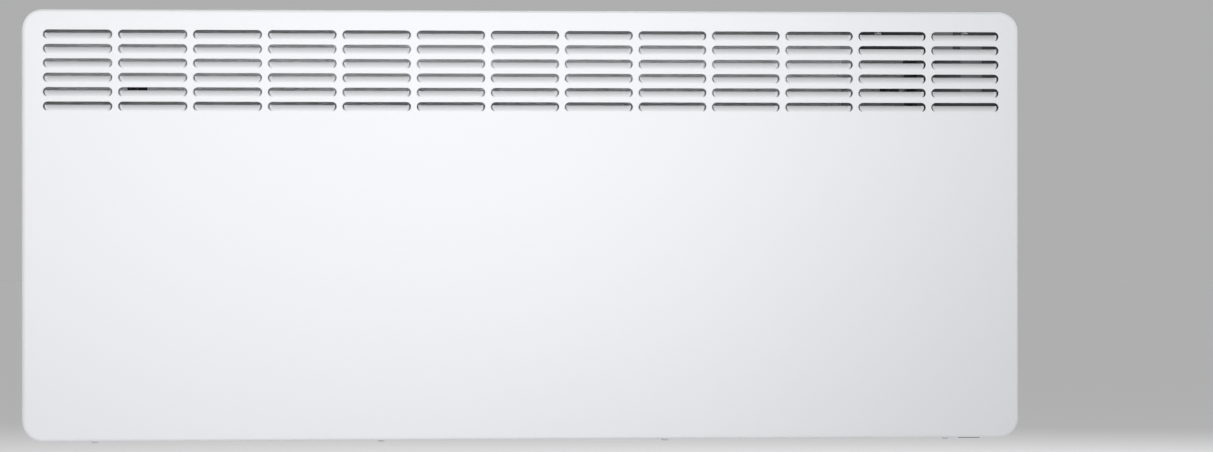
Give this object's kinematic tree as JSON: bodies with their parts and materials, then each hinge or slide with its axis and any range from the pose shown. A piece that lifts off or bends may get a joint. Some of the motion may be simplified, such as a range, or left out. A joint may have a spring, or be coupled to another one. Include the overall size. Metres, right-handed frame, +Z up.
{
  "type": "wall panel convector heater",
  "caption": "Flat wall-hung convector heater with a louvred steel casing, hooked on its wall bracket, with a turning thermostat knob and a rocker switch.",
  "frame": {"origin": "on the wall plane, at the centre of the four wall-screw holes, half way up the casing", "axes": "+X to the viewer's right, +Y into the wall, +Z up; the louvred front faces -Y"},
  "size_m": [1.0545, 0.123, 0.4529],
  "materials": {
    "white_steel": "satin white powder coat on sheet steel",
    "galvanised_steel": "hot-dip galvanised sheet, satin",
    "zinc_steel": "zinc plated",
    "black_steel": "matt black powder coat",
    "buffer_rubber": "matt black rubber",
    "element_aluminium": "as extruded",
    "ceramic": "unglazed steatite, off-white",
    "dark_plastic": "matt dark grey moulding",
    "thermostat_plastic": "off-white thermoset moulding",
    "grey_plastic": "fine-grained grey moulding",
    "white_plastic": "satin white moulding",
    "switch_black": "satin black moulding",
    "tab_brass": "tinned brass strip",
    "wire_jacket": "silicone-jacketed wire"
  },
  "bodies": {
    "wall_bracket": {"upper_rail": "black_steel", "lower_rail": "black_steel", "bracket_uprights": "black_steel", "wall_buffers": "buffer_rubber"},
    "heater": {"front_casing": "white_steel", "rear_panel": "galvanised_steel", "casing_screws": "zinc_steel", "heating_element": "element_aluminium", "element_seals": "ceramic", "element_pins": "zinc_steel", "element_carriers": "galvanised_steel", "heat_shield": "galvanised_steel", "thermal_cutout": "dark_plastic", "partition": "galvanised_steel", "wire_grommet": "buffer_rubber", "control_housing": "dark_plastic", "housing_posts": "zinc_steel", "thermostat_body": "thermostat_plastic", "control_bezel": "grey_plastic", "switch_body": "switch_black", "cable_gland": "switch_black", "terminal_block": "thermostat_plastic", "spade_tabs": "tab_brass", "internal_wires": "wire_jacket"},
    "knob": {"thermostat_knob": "white_plastic", "thermostat_spindle": "zinc_steel"},
    "rocker": {"switch_rocker": "switch_black"}
  },
  "joints": [
    {"name": "lift_off", "type": "slide", "parent": "wall_bracket", "child": "heater", "axis": [0, 0, 1], "range_m": [0, 0.01]},
    {"name": "thermostat_turn", "type": "hinge", "parent": "heater", "child": "knob", "pos_m": [0.5152, -0.076, 0.15], "axis": [-1, 0, 0], "range_deg": [0, 280]},
    {"name": "switch_rock", "type": "hinge", "parent": "heater", "child": "rocker", "pos_m": [0.4785, -0.075, -0.221], "axis": [1, 0, 0], "range_deg": [0, 16]}
  ]
}
